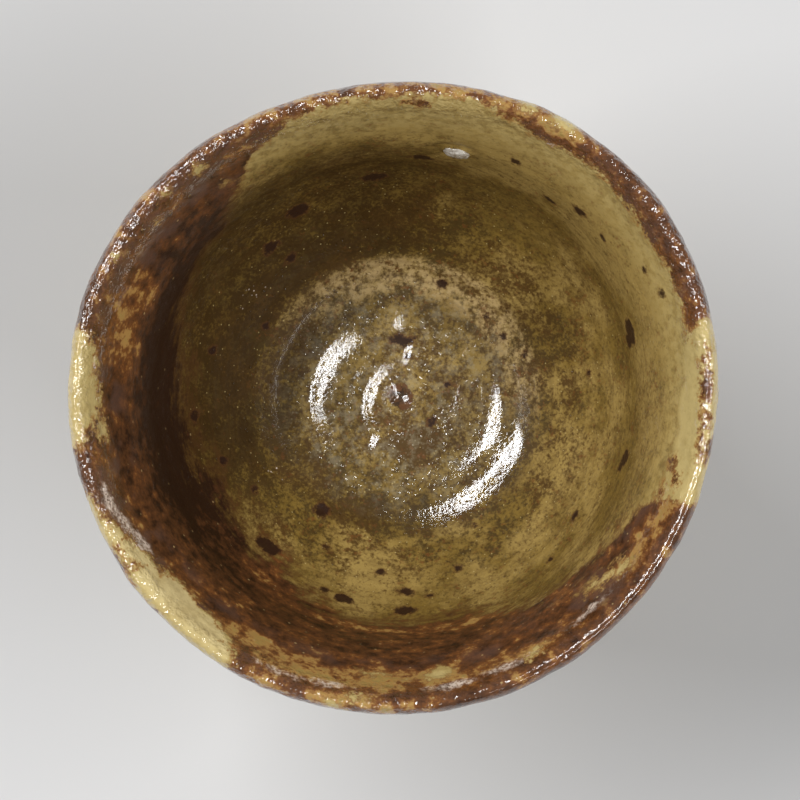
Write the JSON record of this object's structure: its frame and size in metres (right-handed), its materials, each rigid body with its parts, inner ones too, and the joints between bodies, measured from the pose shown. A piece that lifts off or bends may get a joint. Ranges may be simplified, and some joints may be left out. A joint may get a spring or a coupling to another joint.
{
  "type": "sake cup",
  "caption": "Small handmade stoneware sake cup with an uneven turned-out lip, a spiral-ridged bowl, an ash glaze, an iron glaze over the lip and a bare foot ring.",
  "frame": {"origin": "centre of the foot ring's standing face, under the middle of the mouth", "axes": "+Z up, out of the mouth; +X to the right and +Y up in the picture, which looks down into the cup"},
  "size_m": [0.0642, 0.0625, 0.0419],
  "materials": {
    "clay": "bare fired stoneware, matte and gritty",
    "ash_glaze": "glossy, mottled olive and ochre with brown spots",
    "iron_glaze": "glossy, streaked iron brown with yellow patches"
  },
  "bodies": {
    "root": {"clay_body": "clay", "foot_ring": "clay", "ash_glaze_inside": "ash_glaze", "iron_glaze_lip": "iron_glaze", "ash_glaze_outside": "ash_glaze"}
  },
  "joints": []
}
